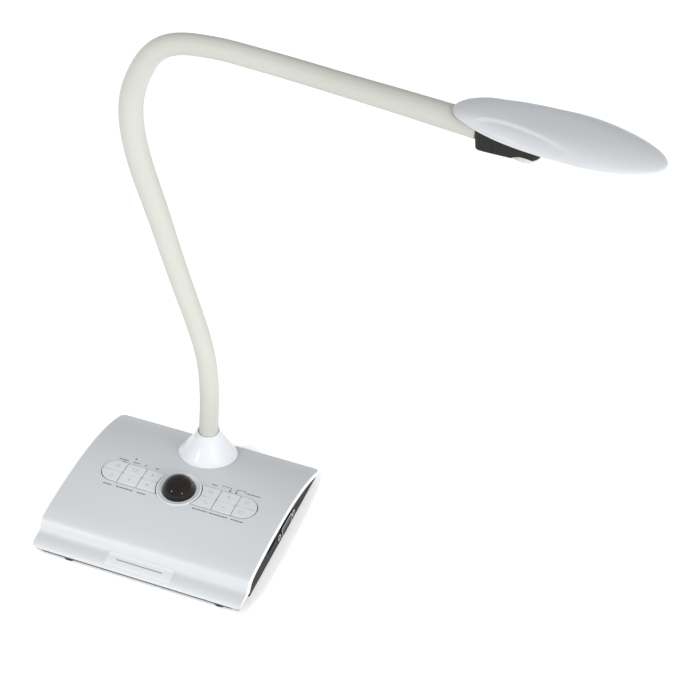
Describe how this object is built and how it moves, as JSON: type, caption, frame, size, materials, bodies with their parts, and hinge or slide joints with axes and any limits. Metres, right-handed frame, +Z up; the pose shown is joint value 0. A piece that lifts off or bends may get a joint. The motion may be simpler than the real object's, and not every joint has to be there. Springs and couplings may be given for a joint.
{
  "type": "document camera",
  "caption": "Desktop document camera: low arched silver base with keypad and dark dome, flexible neck, and a leaf-shaped head over a camera housing.",
  "frame": {"origin": "on the table, under the centre of the whole object's box at rest", "axes": "+X across the base towards the side that the head reaches over, +Y from the keypad edge to the back, +Z up"},
  "size_m": [0.3848, 0.1457, 0.3765],
  "materials": {
    "silver_plastic": "fine satin silver, moulded plastic with a metallic-look paint",
    "charcoal_plastic": "fine texture",
    "steel": "plain",
    "plated_metal": "nickel plated, satin",
    "black_plastic": "plain",
    "circuit_board": "solder resist",
    "dark_dome": "polished, infrared-clear",
    "led_lens": "clear tinted",
    "badge_plate": "printed label",
    "foot_rubber": "matte",
    "white_gloss": "polished white",
    "neck_sleeve": "satin warm-white elastomer",
    "pale_plastic": "fine texture",
    "lens_glass": "coated",
    "ring_white": "satin",
    "key_plastic": "fine speckled silver, soft satin"
  },
  "bodies": {
    "base": {"base_top_shell": "silver_plastic", "base_tray": "charcoal_plastic", "ballast_plate": "steel", "main_board": "circuit_board", "key_switches": "black_plastic", "keypad_frame": "charcoal_plastic", "key_pivot_rods": "steel", "vga_socket": "plated_metal", "vga_jackscrews": "plated_metal", "usb_socket": "plated_metal", "dc_jack": "black_plastic", "dome_ring": "silver_plastic", "ir_dome": "dark_dome", "ir_receiver": "black_plastic", "status_leds": "led_lens", "name_badge": "badge_plate", "rubber_feet": "foot_rubber", "tray_screws": "steel", "neck_collar": "white_gloss", "neck_anchor": "steel", "anchor_screws": "steel", "neck_sleeve_0": "neck_sleeve"},
    "neck_1": {"neck_core_1": "steel", "neck_sleeve_1": "neck_sleeve"},
    "neck_2": {"neck_core_2": "steel", "neck_sleeve_2": "neck_sleeve"},
    "neck_3": {"neck_core_3": "steel", "neck_sleeve_3": "neck_sleeve"},
    "neck_4": {"neck_core_4": "steel", "neck_sleeve_4": "neck_sleeve"},
    "neck_5": {"neck_core_5": "steel", "neck_sleeve_5": "neck_sleeve"},
    "neck_6": {"neck_core_6": "steel", "neck_sleeve_6": "neck_sleeve"},
    "neck_7": {"neck_core_7": "steel", "neck_sleeve_7": "neck_sleeve"},
    "neck_8": {"neck_core_8": "steel", "neck_sleeve_8": "neck_sleeve"},
    "neck_9": {"neck_core_9": "steel", "neck_sleeve_9": "neck_sleeve"},
    "neck_10": {"neck_core_10": "steel", "neck_sleeve_10": "neck_sleeve"},
    "head": {"neck_ferrule": "steel", "head_top_shell": "silver_plastic", "head_bottom_cover": "pale_plastic", "camera_housing": "charcoal_plastic", "lens_barrel": "black_plastic", "lens_glass": "lens_glass", "camera_board": "circuit_board", "lamp_board": "circuit_board", "lamp_diffuser": "ring_white", "head_screws": "steel"},
    "focus": {"focus_ring": "ring_white"},
    "key_left_1": {"key_left_1": "key_plastic"},
    "key_left_2": {"key_left_2": "key_plastic"},
    "key_left_3": {"key_left_3": "key_plastic"},
    "key_right_1": {"key_right_1": "key_plastic"},
    "key_right_2": {"key_right_2": "key_plastic"},
    "key_right_3": {"key_right_3": "key_plastic"}
  },
  "joints": [
    {"name": "neck_bend_1", "type": "hinge", "parent": "base", "child": "neck_1", "pos_m": [-0.10888, 0.04865, 0.048], "axis": [0, 1, 0], "range_deg": [-34, 38]},
    {"name": "neck_bend_2", "type": "hinge", "parent": "neck_1", "child": "neck_2", "pos_m": [-0.10738, 0.04865, 0.11], "axis": [0, 1, 0], "range_deg": [-22, 50]},
    {"name": "neck_bend_3", "type": "hinge", "parent": "neck_2", "child": "neck_3", "pos_m": [-0.12588, 0.04865, 0.19], "axis": [0.9729, 0, 0.2311], "range_deg": [-18, 18]},
    {"name": "neck_bend_4", "type": "hinge", "parent": "neck_3", "child": "neck_4", "pos_m": [-0.14488, 0.04865, 0.27], "axis": [0, 1, 0], "range_deg": [-48, 24]},
    {"name": "neck_bend_5", "type": "hinge", "parent": "neck_4", "child": "neck_5", "pos_m": [-0.14638, 0.04865, 0.318], "axis": [0, 1, 0], "range_deg": [-57, 15]},
    {"name": "neck_bend_6", "type": "hinge", "parent": "neck_5", "child": "neck_6", "pos_m": [-0.13788, 0.04865, 0.343], "axis": [0, 1, 0], "range_deg": [-62, 11]},
    {"name": "neck_bend_7", "type": "hinge", "parent": "neck_6", "child": "neck_7", "pos_m": [-0.11988, 0.04865, 0.361], "axis": [0, 1, 0], "range_deg": [-64, 8]},
    {"name": "neck_bend_8", "type": "hinge", "parent": "neck_7", "child": "neck_8", "pos_m": [-0.09188, 0.04865, 0.3695], "axis": [0, 1, 0], "range_deg": [-54, 18]},
    {"name": "neck_bend_9", "type": "hinge", "parent": "neck_8", "child": "neck_9", "pos_m": [-0.03688, 0.04865, 0.368], "axis": [-0.0862, 0, -0.9963], "range_deg": [-30, 30]},
    {"name": "neck_bend_10", "type": "hinge", "parent": "neck_9", "child": "neck_10", "pos_m": [0.01512, 0.04865, 0.3635], "axis": [0, 1, 0], "range_deg": [-37, 35]},
    {"name": "head_tilt", "type": "hinge", "parent": "neck_10", "child": "head", "pos_m": [0.06612, 0.04865, 0.3585], "axis": [0, 1, 0], "range_deg": [-14, 30]},
    {"name": "focus_turn", "type": "hinge", "parent": "head", "child": "focus", "pos_m": [0.11005, 0.04865, 0.3478], "axis": [0.061, 0, 0.9981], "range_deg": [-60, 60]},
    {"name": "rock_left_1", "type": "hinge", "parent": "base", "child": "key_left_1", "pos_m": [-0.13488, 0.00145, 0.017], "axis": [1, 0, 0], "range_deg": [-2, 2], "stiffness_Nm_per_rad": 0.25},
    {"name": "rock_left_2", "type": "hinge", "parent": "base", "child": "key_left_2", "pos_m": [-0.14858, 0.00145, 0.017], "axis": [1, 0, 0], "range_deg": [-2, 2], "stiffness_Nm_per_rad": 0.25},
    {"name": "rock_left_3", "type": "hinge", "parent": "base", "child": "key_left_3", "pos_m": [-0.16288, 0.00145, 0.017], "axis": [1, 0, 0], "range_deg": [-2, 2], "stiffness_Nm_per_rad": 0.25},
    {"name": "rock_right_1", "type": "hinge", "parent": "base", "child": "key_right_1", "pos_m": [-0.08888, 0.00145, 0.017], "axis": [1, 0, 0], "range_deg": [-2, 2], "stiffness_Nm_per_rad": 0.25},
    {"name": "rock_right_2", "type": "hinge", "parent": "base", "child": "key_right_2", "pos_m": [-0.07518, 0.00145, 0.017], "axis": [1, 0, 0], "range_deg": [-2, 2], "stiffness_Nm_per_rad": 0.25},
    {"name": "rock_right_3", "type": "hinge", "parent": "base", "child": "key_right_3", "pos_m": [-0.06088, 0.00145, 0.017], "axis": [1, 0, 0], "range_deg": [-2, 2], "stiffness_Nm_per_rad": 0.25}
  ]
}
